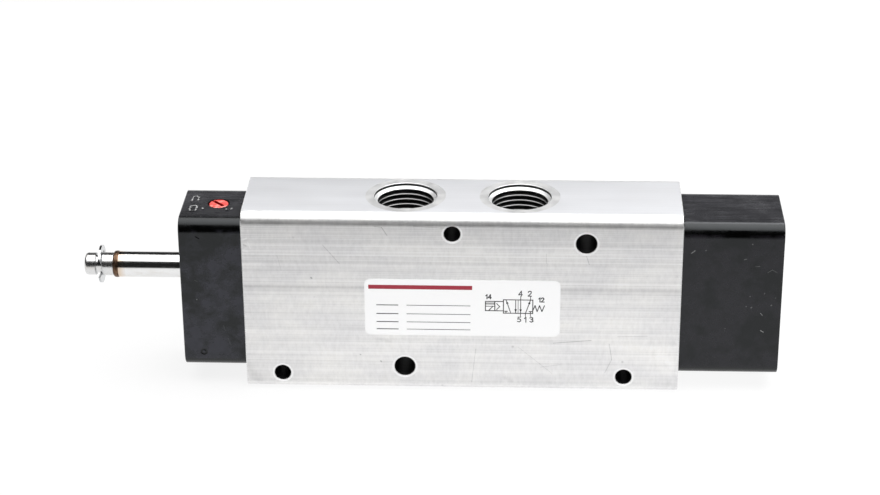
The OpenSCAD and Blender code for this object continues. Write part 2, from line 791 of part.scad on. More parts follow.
// The fixed core: inner pole, plug, clip groove and rounded head, with a vent along its axis
module fixed_core() {
    pole_r = tube_inner_d / 2 - seat_gap;
    head_r = core_head_d / 2;
    round_r = 1.1;
    round_steps = 6;
    nose = [for (i = [0 : round_steps]) let (a = 90 * i / round_steps)
        [head_r - round_r + round_r * cos(a), core_end - round_r + round_r * sin(a)]];
    color(steel_colour) on_tube_axis() difference() {
        rotate([0, 90, 0]) rotate_extrude() polygon(concat(
            [[0, core_face], [pole_r, core_face], [pole_r, weld_end], [plug_d / 2, weld_end],
                [plug_d / 2, plug_end - 0.25], [plug_d / 2 - 0.25, plug_end],
                [groove_d / 2, plug_end], [groove_d / 2, groove_end],
                [head_r - 0.2, groove_end], [head_r, groove_end + 0.2]],
            nose, [[0, core_end]]));
        rod_x(core_face - over, core_end + over, orifice_d);
        rod_x(core_end - 1.5, core_end + over, 2.4);
        tube_x(core_face - over, core_face + shading_l, shading_outer_d, shading_inner_d);
    }
}

module shading_ring() {
    color([0.85, 0.5, 0.3]) on_tube_axis()
        tube_x(core_face, core_face + shading_l - 0.05,
            shading_outer_d - 2 * seat_gap, shading_inner_d + 2 * seat_gap);
}

// A thin E-shaped clip in the core's groove, open towards the back
module retaining_clip() {
    lobe_gap = 0.05;
    color(steel_colour) on_tube_axis() translate([plug_end + 0.05, 0, 0])
        rotate([0, 0, 180]) rotate([90, 0, -90]) linear_extrude(clip_t) difference() {
            circle(d = clip_d);
            circle(d = groove_d + 2 * lobe_gap);
            translate([0, -groove_d * 0.4]) square([clip_d, groove_d * 0.8]);
            for (a = [135, 225]) rotate(a) translate([groove_d * 0.6, 0]) circle(groove_d * 0.2);
        }
}

// The moving armature, with a seal pocket at its foot, a spring bore at its top and two side flats
module plunger() {
    flat_y = plunger_d / 2 - 0.5;
    color(steel_colour) on_tube_axis() difference() {
        rod_x(plunger_near, plunger_far, plunger_d);
        rod_x(plunger_near - over, plunger_near + 2, 4);
        rod_x(plunger_far - plunger_bore_l, plunger_far + over, plunger_bore_d);
        for (side = [-1, 1]) translate([plunger_near - over, side * (flat_y + over) - over, -plunger_d])
            cube([plunger_l + 2 * over, 2 * over, 2 * plunger_d]);
    }
}

module plunger_seat_seal() {
    color(rubber_colour) on_tube_axis() rod_x(plunger_near, plunger_near + 2, 4 - 2 * seat_gap);
}

// A rubber pin through the spring, which closes the core's vent when the plunger is lifted
module plunger_vent_seal() {
    color(rubber_colour) on_tube_axis() rod_x(plunger_far - plunger_bore_l, plunger_far, 2);
}

module plunger_spring() {
    color(steel_colour) on_tube_axis()
        coil_x(plunger_far - plunger_bore_l + 0.05, core_face - 0.05, 4.2, 0.5, 7);
}

// Insert that carries the nozzle, feeds it from a groove, and leads its outlet to the piston
module pilot_nozzle() {
    groove_near = feed_x - 1.5;
    body_r = flange_d / 2 - seat_gap;
    color(brass_colour) on_tube_axis() {
        difference() {
            union() {
                rod_x(nozzle_near, nozzle_far, 2 * body_r);
                rod_x(nozzle_far - 0.5, flange_near, flange_d - 2 * seal_cord - 0.3);
            }
            rod_x(feed_x + 2, flange_near + over, nozzle_chamber_d);
            tube_x(groove_near, feed_x + 1.2, 2 * body_r + over, 2 * body_r - 2.4);
            tube_x(groove_near - 2, groove_near - 0.5, 2 * body_r + over, 2 * body_r - 2.2);
            tube_x(feed_x + 2, feed_x + 3.5, 2 * body_r + over, 2 * body_r - 2.2);
            rod_x(feed_x - 0.6, feed_x + 3, orifice_d);
            translate([feed_x, 0, 0]) cylinder(h = body_r + over, d = 1.4);
            translate([0, nozzle_d / 2 + 1.3, 0]) rod_x(nozzle_near - over, feed_x + 3, 1.4);
        }
        difference() {
            rod_x(feed_x + 1.5, nozzle_tip, nozzle_d);
            rod_x(feed_x + 1, nozzle_tip + over, orifice_d);
        }
    }
}

module nozzle_o_rings() {
    cord = 1.05;
    outer = flange_d - 2 * seat_gap;
    color(rubber_colour) on_tube_axis() for (x = [feed_x - 2.75, feed_x + 2.75])
        cord_ring_x(x, outer - 2 * cord, cord);
}

// An open snap ring that holds the nozzle insert in the pilot head
module nozzle_snap_ring() {
    color(steel_colour) on_tube_axis() difference() {
        tube_x(nozzle_near - 1.05, nozzle_near - 0.1, flange_d + 0.9, flange_d - 2.2);
        translate([nozzle_near - 1.5, -2, -flange_d]) cube([2, 4, flange_d]);
    }
}

// ---- Manual override ----

module override_screw() {
    slot_l = override_d - 1.2;
    head_z = head_top_z - override_sink - override_head_t;
    color(red_colour) translate([-face_x - override_x, override_y, 0]) difference() {
        union() {
            translate([0, 0, head_z]) cylinder(h = override_head_t - override_bevel, d = override_d);
            translate([0, 0, head_z + override_head_t - override_bevel])
                cylinder(h = override_bevel, d1 = override_d, d2 = override_d - 2 * override_bevel);
            translate([0, 0, override_foot_z])
                cylinder(h = head_z - override_foot_z + over, d = override_shaft_d);
        }
        translate([0, 0, override_ring_z]) rotate_extrude()
            translate([override_shaft_d / 2 - 0.95, -0.6]) square([2, 1.2]);
        translate([0, 0, override_foot_z - over])
            cylinder(h = override_cross_z - override_foot_z + over, d = override_cross_d);
        translate([0, 0, override_cross_z]) rotate([90, 0, 0])
            cylinder(h = 2 * override_shaft_d, d = override_cross_d, center = true);
        translate([0, 0, head_z + override_head_t - override_slot_depth]) rotate(override_slot_angle)
            translate([-slot_l / 2, -override_slot_w / 2, 0])
                cube([slot_l, override_slot_w, override_slot_depth + over]);
    }
}

module override_o_ring() {
    cord = 0.9;
    color(rubber_colour) translate([-face_x - override_x, override_y, override_ring_z])
        rotate_extrude() translate([override_shaft_d / 2 - cord / 2, 0]) circle(d = cord, $fn = 32);
}

valve_body();
name_label();
gallery_ball_plugs();
pilot_head();
pilot_head_gasket();
pilot_head_screws();
pilot_filter();
spring_cover();
spring_cover_gasket();
spring_cover_screws();
spacer_cage(-2);  // spacer_cage_1
spacer_cage(-1);  // spacer_cage_2
spacer_cage(0);  // spacer_cage_3
spacer_cage(1);  // spacer_cage_4
spacer_cage(2);  // spacer_cage_5
spool_seal(0);  // spool_seal_1
spool_seal(1);  // spool_seal_2
spool_seal(2);  // spool_seal_3
spool_seal(3);  // spool_seal_4
spool_seal(4);  // spool_seal_5
spool_seal(5);  // spool_seal_6
end_bush(-1);  // pilot_end_bush
end_bush(1);  // spring_end_bush
bush_o_ring(-1);  // pilot_bush_o_ring
bush_o_ring(1);  // spring_bush_o_ring
piston_liner();
pilot_piston();
piston_seal();
spool();
spring_sleeve();
return_spring();
spring_guide();
armature_tube();
tube_o_ring();
weld_ring();
fixed_core();
shading_ring();
retaining_clip();
plunger();
plunger_seat_seal();
plunger_vent_seal();
plunger_spring();
pilot_nozzle();
nozzle_o_rings();
nozzle_snap_ring();
override_screw();
override_o_ring();
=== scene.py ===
"""Looks for a solenoid directional valve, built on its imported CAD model.
Metres, in the row frame: +X towards the spring end, -Y the labelled front, +Z up."""
import json
import math

import bpy
from mathutils import Matrix, Vector


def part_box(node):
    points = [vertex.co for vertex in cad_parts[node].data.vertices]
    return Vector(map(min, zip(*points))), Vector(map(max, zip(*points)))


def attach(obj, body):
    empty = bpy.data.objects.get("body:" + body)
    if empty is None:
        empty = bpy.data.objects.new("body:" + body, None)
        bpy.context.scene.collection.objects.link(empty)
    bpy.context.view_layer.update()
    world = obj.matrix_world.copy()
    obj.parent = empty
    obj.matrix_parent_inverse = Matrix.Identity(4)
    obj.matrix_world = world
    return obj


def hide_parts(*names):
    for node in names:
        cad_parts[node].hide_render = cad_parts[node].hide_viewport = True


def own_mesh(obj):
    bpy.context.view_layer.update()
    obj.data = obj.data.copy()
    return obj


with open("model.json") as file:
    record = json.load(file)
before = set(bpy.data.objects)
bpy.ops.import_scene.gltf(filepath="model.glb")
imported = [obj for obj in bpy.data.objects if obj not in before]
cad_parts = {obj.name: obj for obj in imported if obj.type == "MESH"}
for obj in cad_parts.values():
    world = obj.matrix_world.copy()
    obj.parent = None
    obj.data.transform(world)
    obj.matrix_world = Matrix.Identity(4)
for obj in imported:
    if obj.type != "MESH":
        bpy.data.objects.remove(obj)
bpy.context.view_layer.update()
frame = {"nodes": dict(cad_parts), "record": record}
NODES = frame["nodes"]
MM = 0.001


# ---------------------------------------------------------------- camera

LENS_MM = 95.74
SENSOR_MM = 36
CAMERA_PLACE = Vector((0.02383, -0.71016, 0.37988))
CAMERA_PITCH = math.radians(25.195)  # down from level
CAMERA_YAW = math.radians(2.542)  # towards -X
CAMERA_ROLL = math.radians(-0.408)


def make_camera():
    data = bpy.data.cameras.new("camera")
    data.lens = LENS_MM
    data.sensor_width = SENSOR_MM
    data.clip_start = 0.01
    camera = bpy.data.objects.new("camera", data)
    bpy.context.scene.collection.objects.link(camera)
    camera.matrix_world = (
        Matrix.Translation(CAMERA_PLACE)
        @ Matrix.Rotation(CAMERA_YAW, 4, "Z")
        @ Matrix.Rotation(math.pi / 2 - CAMERA_PITCH, 4, "X")
        @ Matrix.Rotation(CAMERA_ROLL, 4, "Z")
    )
    bpy.context.scene.camera = camera


# ---------------------------------------------------------------- studio

TABLE_FRONT, TABLE_BACK, TABLE_SIDE = -0.245, 0.50, 1.0
TABLE_DROP = 0.00005  # below the object's base, so that no two faces lie in one plane
TABLE_ALBEDO = 0.13
TABLE_CLOUD, TABLE_CLOUD_SHARE = 0.4, 0.97  # over about that many metres, its albedo drifts to that share
TABLE_GLOW = 0.90
TABLE_FADE = (-0.09, -0.24)  # the glow is full to the first Y, and has the edge's share from the second
TABLE_EDGE_SHARE = 0.74
TABLE_LEFT_FADE = (-0.10, 0.05)  # it has the left's share to the first X, and is full from the second
TABLE_LEFT_SHARE = 0.93
SWEEP_HEIGHT = 0.17  # of the white sheet's turned-up back edge
SWEEP_RADIANCE = 0.95
SOFTBOX_HEIGHT = 0.95
SOFTBOX_OUTLINE = ((-0.9, -0.78), (0.9, -0.78), (0.9, 0.74), (0.2, 0.70), (-0.2, 0.42), (-0.9, 0.42))
SOFTBOX_RADIANCE = 2.9
SOFTBOX_FADE = (-0.75, -0.10)  # it has the edge's share to the first Y, and is full from the second
SOFTBOX_EDGE_SHARE = 0.5
SOFTBOX_LEFT_RIGHT = (-0.1, 0.2)  # from the first X to the second, it goes from one share to the other
SOFTBOX_SIDE_SHARES = (1.0, 1.3)
FILL_SIZE = 0.6
FILL_PLACE = Vector((0.0, -0.9, 0.35))
FILL_RADIANCE = 3.0
ROOM_STRENGTH = 0.015
SEEN_STRENGTH = 1.2  # of the background that the camera sees, so that it is plain white


def make_world():
    """A dark room round a light table. Camera rays see plain white."""
    world = bpy.data.worlds.new("studio")
    bpy.context.scene.world = world
    world.use_nodes = True
    nodes, links = world.node_tree.nodes, world.node_tree.links
    nodes.clear()
    room, seen = nodes.new("ShaderNodeBackground"), nodes.new("ShaderNodeBackground")
    room.inputs["Strength"].default_value = ROOM_STRENGTH
    seen.inputs["Strength"].default_value = SEEN_STRENGTH
    pick = nodes.new("ShaderNodeMixShader")
    links.new(nodes.new("ShaderNodeLightPath").outputs["Is Camera Ray"], pick.inputs["Fac"])
    links.new(room.outputs[0], pick.inputs[1])
    links.new(seen.outputs[0], pick.inputs[2])
    links.new(pick.outputs[0], nodes.new("ShaderNodeOutputWorld").inputs["Surface"])


def make_lamp(name, size, place, radiance, aim):
    """An even rectangular light that the camera doesn't see."""
    data = bpy.data.lights.new(name, "AREA")
    data.shape = "RECTANGLE"
    data.size, data.size_y = size
    data.energy = radiance * math.pi * size[0] * size[1]
    lamp = bpy.data.objects.new(name, data)
    lamp.location = place
    lamp.rotation_euler = aim.to_track_quat("-Z", "Y").to_euler()
    lamp.visible_camera = False
    bpy.context.scene.collection.objects.link(lamp)
    return lamp


def make_softbox():
    """The cloth of a softbox overhead, dimmer towards its front edge and brighter on the right."""
    mesh = bpy.data.meshes.new("softbox")
    mesh.from_pydata([(x, y, SOFTBOX_HEIGHT) for x, y in SOFTBOX_OUTLINE], [], [range(len(SOFTBOX_OUTLINE))])
    softbox = link("softbox", mesh)
    paint = Paint("softbox_cloth", Emission_Color=grey(1))
    x, y, _ = paint.axes()
    glow = paint.calc("MULTIPLY", paint.span(y, *SOFTBOX_FADE, SOFTBOX_EDGE_SHARE, 1.0),
                      paint.span(x, *SOFTBOX_LEFT_RIGHT, *SOFTBOX_SIDE_SHARES), SOFTBOX_RADIANCE)
    paint.put(paint.shader, "Emission Strength", glow)
    mesh.materials.append(paint.material)
    softbox.visible_camera = False


def make_lights():
    """The softbox, the sheet's glowing back edge, and a diffuse fill in front that no gloss shows."""
    make_softbox()
    make_lamp("sweep", (2 * TABLE_SIDE, SWEEP_HEIGHT), (0, TABLE_BACK, SWEEP_HEIGHT / 2), SWEEP_RADIANCE,
              Vector((0, -1, 0)))
    fill = make_lamp("fill", (FILL_SIZE, FILL_SIZE), FILL_PLACE, FILL_RADIANCE, -FILL_PLACE)
    fill.visible_glossy = False


def make_table():
    """A plain white light table, a little dimmer in front and on the left."""
    mesh = bpy.data.meshes.new("table")
    corners = ((-TABLE_SIDE, TABLE_FRONT), (TABLE_SIDE, TABLE_FRONT), (TABLE_SIDE, TABLE_BACK),
               (-TABLE_SIDE, TABLE_BACK))
    mesh.from_pydata([(x, y, -TABLE_DROP) for x, y in corners], [], [range(len(corners))])
    table = link("table", mesh)
    paint = Paint("table_top", Roughness=0.7, Specular_IOR_Level=0.0, Emission_Color=grey(1))
    x, y, _ = paint.axes()
    glow = paint.calc("MULTIPLY", paint.span(y, *TABLE_FADE, 1.0, TABLE_EDGE_SHARE),
                      paint.span(x, *TABLE_LEFT_FADE, TABLE_LEFT_SHARE, 1.0), TABLE_GLOW)
    paint.put(paint.shader, "Emission Strength", glow)
    cloud = paint.noise(TABLE_CLOUD)
    paint.colour(paint.blend(cloud, grey(TABLE_ALBEDO), grey(TABLE_ALBEDO * TABLE_CLOUD_SHARE)))
    mesh.materials.append(paint.material)


# ---------------------------------------------------------------- shader building

def grey(value):
    return (value, value, value, 1)


def dimmed(tone, share):
    return tuple(value * share for value in tone[:3]) + (1,)


class Paint:
    """One procedural material on a Principled shader. Patterns are placed by the row frame's metres."""

    def __init__(self, name, **uniform):
        self.material = bpy.data.materials.new(name)
        self.material.use_nodes = True
        tree = self.material.node_tree
        self.nodes, self.links = tree.nodes, tree.links
        self.shader = self.nodes["Principled BSDF"]
        for socket, value in uniform.items():
            self.shader.inputs[socket.replace("_", " ")].default_value = value
        self.place = self.make("ShaderNodeTexCoord").outputs["Object"]
        self.bumped = None

    def make(self, kind, **settings):
        node = self.nodes.new(kind)
        for name, value in settings.items():
            setattr(node, name, value)
        return node

    def put(self, node, socket, value):
        """Links value to a socket if it is one, or sets it there."""
        if isinstance(value, bpy.types.NodeSocket):
            self.links.new(value, node.inputs[socket])
        else:
            node.inputs[socket].default_value = value

    def calc(self, operation, result, *more, clamp=False):
        """The result with each further value added, multiplied or so on in turn, by a node of its own."""
        for value in more or (0.0,):
            node = self.make("ShaderNodeMath", operation=operation, use_clamp=clamp)
            self.put(node, 0, result)
            self.put(node, 1, value)
            result = node.outputs[0]
        return result

    def distance(self, value, middle):
        return self.calc("ABSOLUTE", self.calc("SUBTRACT", value, middle))

    def axes(self):
        node = self.make("ShaderNodeSeparateXYZ")
        self.links.new(self.place, node.inputs[0])
        return node.outputs["X"], node.outputs["Y"], node.outputs["Z"]

    def spread(self, cell, shift=(0, 0, 0)):
        """Coordinates in which a pattern's cell has that size in metres, one for all axes or one for each."""
        sides = cell if isinstance(cell, tuple) else (cell, cell, cell)
        node = self.make("ShaderNodeMapping")
        self.links.new(self.place, node.inputs["Vector"])
        node.inputs["Scale"].default_value = [1 / side for side in sides]
        node.inputs["Location"].default_value = shift
        return node.outputs["Vector"]

    def noise(self, cell, detail=2.0, rough=0.5, shift=(0, 0, 0)):
        node = self.make("ShaderNodeTexNoise")
        self.links.new(self.spread(cell, shift), node.inputs["Vector"])
        node.inputs["Scale"].default_value = 1
        node.inputs["Detail"].default_value = detail
        node.inputs["Roughness"].default_value = rough
        return node.outputs["Fac"]

    def pits(self, cell, outer, inner, share, rare=0.80):
        """Small round marks in a few of the cells of that size. They are share to the inner radius, and 0
        from the outer one, both in parts of a cell. The nearer rare is to 1, the fewer the marks."""
        node = self.make("ShaderNodeTexVoronoi")
        self.links.new(self.spread(cell), node.inputs["Vector"])
        node.inputs["Scale"].default_value = 1
        chance = self.make("ShaderNodeSeparateColor")
        self.links.new(node.outputs["Color"], chance.inputs[0])
        return self.calc("MULTIPLY", self.span(node.outputs["Distance"], outer, inner, 0, share),
                         self.span(chance.outputs[0], rare, rare + 0.02))

    def scratch(self, start, end, half, share):
        """share on the straight line between two (x, z) points in mm, fading to 0 at half mm from it."""
        along = Vector((end[0] - start[0], 0, end[1] - start[1])) * MM
        away = self.vector("SUBTRACT", self.seen_from_front(), (start[0] * MM, 0, start[1] * MM))
        part = self.vector("DOT_PRODUCT", away, along / along.length_squared)
        part = self.calc("ADD", part, 0.0, clamp=True)
        nearest = self.make("ShaderNodeVectorMath", operation="SCALE")
        nearest.inputs[0].default_value = along
        self.links.new(part, nearest.inputs["Scale"])
        gap = self.vector("DISTANCE", away, nearest.outputs[0])
        return self.span(gap, half * MM, 0, 0, share)

    def seen_from_front(self):
        """The place with its Y taken as 0."""
        return self.vector("MULTIPLY", self.place, (1, 0, 1))

    def vector(self, operation, a, b):
        node = self.make("ShaderNodeVectorMath", operation=operation)
        self.put(node, 0, a)
        self.put(node, 1, b)
        return node.outputs["Value" if operation in ("DOT_PRODUCT", "DISTANCE") else "Vector"]

    def span(self, value, low, high, out_low=0.0, out_high=1.0, smoothly=False):
        """value's stretch from low to high, made out_low to out_high and held there outside it."""
        node = self.make("ShaderNodeMapRange", interpolation_type="SMOOTHSTEP" if smoothly else "LINEAR")
        self.put(node, "Value", value)
        node.inputs["From Min"].default_value = low
        node.inputs["From Max"].default_value = high
        node.inputs["To Min"].default_value = out_low
        node.inputs["To Max"].default_value = out_high
        return node.outputs["Result"]

    def blend(self, share, a, b, how="MIX"):
        """Two colours mixed. A Mix node's sockets share their names, so they go by number."""
        node = self.make("ShaderNodeMix", data_type="RGBA", blend_type=how)
        self.put(node, 0, share)
        self.put(node, 6, a)
        self.put(node, 7, b)
        return node.outputs[2]

    def colour(self, value):
        self.put(self.shader, "Base Color", value)

    def colour_less_lost(self, value, lost):
        """The base colour, less a share of its tone."""
        self.colour(self.blend(1.0, value, self.calc("SUBTRACT", 1.0, lost), how="MULTIPLY"))

    def roughness(self, value):
        self.put(self.shader, "Roughness", value)

    def bump(self, height, depth):
        """Adds relief of that depth, in metres, on top of any there already."""
        node = self.make("ShaderNodeBump")
        node.inputs["Distance"].default_value = depth
        self.links.new(height, node.inputs["Height"])
        if self.bumped is not None:
            self.links.new(self.bumped, node.inputs["Normal"])
        self.bumped = node.outputs["Normal"]
        self.links.new(self.bumped, self.shader.inputs["Normal"])


# Lines that the die left along the front face, with painted shade under the top fillet at 61 mm and a darker
# band along the bottom at 3 mm: height in mm, half width in mm, share of tone lost
DIE_LINES_AND_SHADE = (
    (61.0, 2.0, 0.03), (49.2, 0.7, 0.06), (47.5, 0.8, 0.09), (44.5, 0.5, 0.03), (38.5, 1.1, 0.20),
    (37.2, 0.5, 0.05), (32.0, 0.6, 0.05), (28.9, 0.5, 0.05), (24.5, 0.4, 0.03), (6.5, 0.5, 0.03),
    (3.0, 5.0, 0.08),
)

FRONT_MARKS_Y = (-0.0166, -0.0169)  # the front face's own marks, painted shade and painted highlights are there from the second Y on
CALM_HEIGHTS = (34, 48)  # in mm: its fine lines have the calm share below them, and are full above
CALM_SHARE = 0.55
SHADED_TOP_HEIGHTS = (53.4, 55.0)  # in mm: above them, the front loses a share of its tone as painted shade
SHADED_TOP = 0.02
SHADED_CORNER_X = (-0.03, -0.07)  # painted shade darkens its lower left corner from the first X to the second
SHADED_CORNER_HEIGHTS = (45, 30)  # and from the first height, in mm, to the second
SHADED_CORNER = 0.04  # share of tone lost there
HIGHLIGHT_RING = (0.50, 0.85)  # painted highlight round each hole, in mm from its wall: full to the first, gone from the second
RING_HIGHLIGHT = 0.28  # share of tone gained in it

# Scratches on the front face: start and end (x, z) in mm, half width in mm, share of tone lost
SCRATCHES = (
    ((-15.6, 61.0), (-3.5, 60.3), 0.18, 0.34), ((-28.5, 60.8), (-26.0, 60.4), 0.23, 0.25),
    ((-26.0, 60.4), (-24.3, 57.6), 0.25, 0.34), ((-45.6, 53.9), (-40.2, 47.2), 0.21, 0.25),
    ((-60.6, 49.5), (-59.5, 44.4), 0.18, 0.17), ((30.6, 18.7), (43.2, 19.9), 0.16, 0.46),
    ((51.9, 21.4), (61.9, 21.8), 0.14, 0.29), ((49.2, 18.7), (50.2, 12.8), 0.18, 0.34),
    ((50.2, 12.8), (48.0, 7.8), 0.16, 0.29), ((19.0, 17.0), (30.3, 7.3), 0.15, 0.21),
    ((26.5, 9.6), (33.0, 10.6), 0.15, 0.25), ((4.8, 16.2), (3.4, 3.6), 0.16, 0.29),
    ((41.1, 50.8), (42.0, 47.9), 0.23, 0.29), ((27.9, 51.5), (28.0, 48.2), 0.21, 0.21),
    ((14.9, 5.2), (16.7, 4.2), 1.1, 0.1), ((-28.0, 19.4), (-24.0, 18.6), 1, 0.1),
    ((-71.8, 55.4), (-70.6, 55.9), 0.4, -0.22), ((-71.6, 51.6), (-70.4, 51.2), 0.5, -0.22),
    ((-70.2, 54.6), (-69.4, 52.2), 0.3, -0.16), ((-71.6, 53.6), (-70.8, 53.2), 0.46, 0.29),
    ((-72.0, 8.5), (-68.5, 3.5), 2.2, 0.1), ((66.0, 15.0), (70.0, 11.0), 2.2, -0.06),
    ((-49.7, 41.9), (-49.5, 41.7), 0.4, 0.53), ((29.6, 2.1), (29.8, 1.9), 0.4, 0.53),
    ((-27.1, 11.1), (-26.9, 10.9), 0.4, 0.46), ((-34.0, 13.5), (-33.8, 13.4), 0.34, 0.42),
)


def extruded_aluminium():
    """Satin drawn metal: die lines and long streaks along X, smears, stains, pits and scratches, with painted
    shade on the front's top, under its top fillet and on its lower left corner, and painted highlight rings
    round the holes.
    """
    paint = Paint("extruded_aluminium", Metallic=1.0, Anisotropic=0.5)
    paint.links.new(paint.make("ShaderNodeTangent", direction_type="RADIAL", axis="X").outputs[0],
                    paint.shader.inputs["Tangent"])
    lines = paint.noise((0.40, 0.00030, 0.00030), detail=1)
    bands = paint.noise((0.30, 0.0014, 0.0014), detail=2, shift=(3, 1, 7))
    smears = paint.noise((0.0012, 0.0012, 0.0030), detail=5, rough=0.65, shift=(9, 2, 4))
    stains = paint.noise((0.020, 0.012, 0.012), detail=4, rough=0.6, shift=(6, 8, 3))
    x, y, z = paint.axes()
    height = paint.calc("MULTIPLY", z, 1 / MM)
    lost = paint.calc(
        "ADD",
        paint.calc("MULTIPLY", paint.span(lines, 0.30, 0.70, 0.13, -0.05),
                   paint.span(height, *CALM_HEIGHTS, CALM_SHARE, 1.0)),
        paint.span(bands, 0.32, 0.68, 0.10, -0.04),
        paint.span(smears, 0.30, 0.70, 0.08, -0.05),
        paint.span(stains, 0.35, 0.65, 0.07, -0.03),
        paint.pits(0.006, 0.10, 0.035, 0.22))
    # painted shade: the front is darker towards its top
    marks_and_shade = [paint.span(height, *SHADED_TOP_HEIGHTS, 0, SHADED_TOP, smoothly=True)]
    # die lines, and painted shade under the top fillet
    for middle, half, share in DIE_LINES_AND_SHADE:
        marks_and_shade.append(paint.span(paint.distance(height, middle), half, 0, 0, share, smoothly=True))
    marks_and_shade += [paint.scratch(*mark) for mark in SCRATCHES]
    # painted highlight: a paler ring round each through hole
    for mount in frame["record"]["mounts"]:
        if mount["kind"] == "bore":
            hole = (mount["pos_m"][0], 0, mount["pos_m"][2])
            reach = paint.vector("DISTANCE", paint.seen_from_front(), hole)
            inner, outer = [(mount["dims"]["r_mm"] + width) * MM for width in HIGHLIGHT_RING]
            marks_and_shade.append(paint.span(reach, inner, outer, -RING_HIGHLIGHT, 0.0))
    # painted shade on the front's lower left corner
    marks_and_shade.append(paint.calc("MULTIPLY", paint.span(x, *SHADED_CORNER_X),
                           paint.span(height, *SHADED_CORNER_HEIGHTS), SHADED_CORNER))
    on_front = paint.span(y, *FRONT_MARKS_Y)
    lost = paint.calc("ADD", lost, paint.calc("MULTIPLY", paint.calc("ADD", *marks_and_shade), on_front))
    metal = paint.blend(paint.span(stains, 0.40, 0.75), (0.965, 0.96, 0.965, 1), (0.965, 0.955, 0.935, 1))
    paint.colour_less_lost(metal, lost)
    paint.roughness(paint.calc("ADD", paint.span(bands, 0.3, 0.7, 0.36, 0.42),
                               paint.span(smears, 0.3, 0.7, 0.0, 0.04)))
    paint.bump(lines, 0.000003)
    paint.bump(smears, 0.000004)
    return paint.material


def satin_aluminium():
    """The extrusion's narrow faces: finer and more even than the front, a little blue, with painted shade
    making them darker to the back.
    """
    paint = Paint("satin_aluminium", Metallic=1.0)
    lines = paint.noise((0.30, 0.00035, 0.00035), detail=1, shift=(1, 5, 2))
    cloud = paint.noise((0.020, 0.006, 0.006), detail=4, shift=(4, 4, 8))
    lost = paint.calc(
        "ADD",
        paint.span(lines, 0.3, 0.7, 0.025, 0.0),
        paint.span(cloud, 0.35, 0.65, 0.02, 0.0),
        paint.pits(0.008, 0.05, 0.02, 0.2, rare=0.90),
        # painted shade: darker towards the back
        paint.span(paint.axes()[1], -0.013, 0.013, 0.0, 0.08))
    paint.colour_less_lost((0.815, 0.82, 0.84, 1), lost)
    paint.roughness(paint.span(cloud, 0.3, 0.7, 0.60, 0.64))
    paint.bump(lines, 0.000003)
    return paint.material


def machined_aluminium(name, tone, rough, metallic=1.0):
    """Turned or drilled metal, with fine tool lines across Z. The holes' bright rims are less metallic."""
    paint = Paint(name, Metallic=metallic)
    lines = paint.noise((0.004, 0.004, 0.00012), detail=2)
    paint.colour(paint.blend(paint.span(lines, 0.35, 0.65), grey(tone * 0.88), grey(tone)))
    paint.roughness(paint.span(lines, 0.3, 0.7, rough, rough + 0.1))
    paint.bump(lines, 0.000004)
    return paint.material


def shaded_bore_aluminium():
    """The walls of bores and thread grooves, dark as painted shade, with faint tool rings."""
    paint = Paint("shaded_bore_aluminium", Metallic=1.0)
    rings = paint.noise((0.010, 0.00040, 0.00040), detail=2)
    paint.colour(paint.blend(paint.span(rings, 0.35, 0.65), grey(0.045), grey(0.085)))
    paint.roughness(paint.span(rings, 0.3, 0.7, 0.40, 0.55))
    paint.bump(rings, 0.00001)
    return paint.material


def sawn_aluminium():
    """The extrusion's milled ends, with swept cutter marks."""
    paint = Paint("sawn_aluminium", Metallic=1.0)
    sweep = paint.make("ShaderNodeTexWave", wave_type="RINGS", rings_direction="X")
    paint.links.new(paint.spread(0.004, shift=(0, 9, 21)), sweep.inputs["Vector"])
    sweep.inputs["Scale"].default_value = 1.6
    sweep.inputs["Distortion"].default_value = 0.6
    marks = sweep.outputs["Fac"]
    paint.colour(paint.blend(marks, grey(0.78), grey(0.86)))
    paint.roughness(paint.span(marks, 0, 1, 0.24, 0.32))
    paint.bump(marks, 0.000006)
    return paint.material


# Pale nicks on the fronts of the spring cover and the pilot head: start and end (x, z) in mm, half width
# in mm, strength
COVER_NICKS = (
    ((75.4, 51.4), (76.5, 52.3), 0.22, 0.22), ((80.0, 52.4), (80.2, 52.5), 0.25, 0.10),
    ((92.7, 49.3), (93.5, 49.5), 0.20, 0.12), ((96.6, 46.8), (97.9, 46.9), 0.18, 0.08),
    ((100.6, 44.6), (102.0, 45.7), 0.16, 0.07), ((102.0, 45.7), (103.7, 44.7), 0.16, 0.07),
    ((99.9, 36.9), (100.0, 37.1), 0.22, 0.10), ((102.3, 32.6), (102.5, 32.8), 0.25, 0.14),
    ((95.2, 35.8), (95.3, 35.9), 0.20, 0.12), ((94.1, 32.1), (94.2, 32.2), 0.22, 0.12),
    ((95.8, 31.7), (96.0, 31.9), 0.24, 0.16), ((99.0, 29.7), (99.6, 29.0), 0.20, 0.20),
    ((99.3, 23.3), (100.3, 22.7), 0.22, 0.24), ((103.6, 35.3), (103.7, 35.5), 0.18, 0.08),
    ((87.5, 23.8), (87.6, 23.9), 0.22, 0.08),
)
HEAD_NICKS = (
    ((-77.6, 9.0), (-76.9, 9.1), 0.24, 0.35), ((-88.9, 39.1), (-88.0, 38.6), 0.18, 0.04),
    ((-80.0, 22.2), (-79.4, 20.4), 0.16, 0.03), ((-78.6, 17.4), (-77.8, 15.0), 0.16, 0.03),
)

PLASTIC_BLACK = grey(0.0006)
# pale for the nicks, and for the painted glints on the raised marks
PALE_NICK_AND_GLINT = grey(1.0)
SIDE_DEPTHS = (0.3, 0.1)  # in mm inside a side: its own marks begin at the first, and are full by the second
TOP_DEPTHS = (0.4, 0.3)  # the same for the top, in mm below the highest point, raised marks included
TOP_FADE = (0.3, 0.4)  # the top's dust and painted sheen changes from that part of the half width in front to that behind
GLINT_DEPTH = 0.1  # in mm: how far down from their top the raised marks are painted pale, as glints
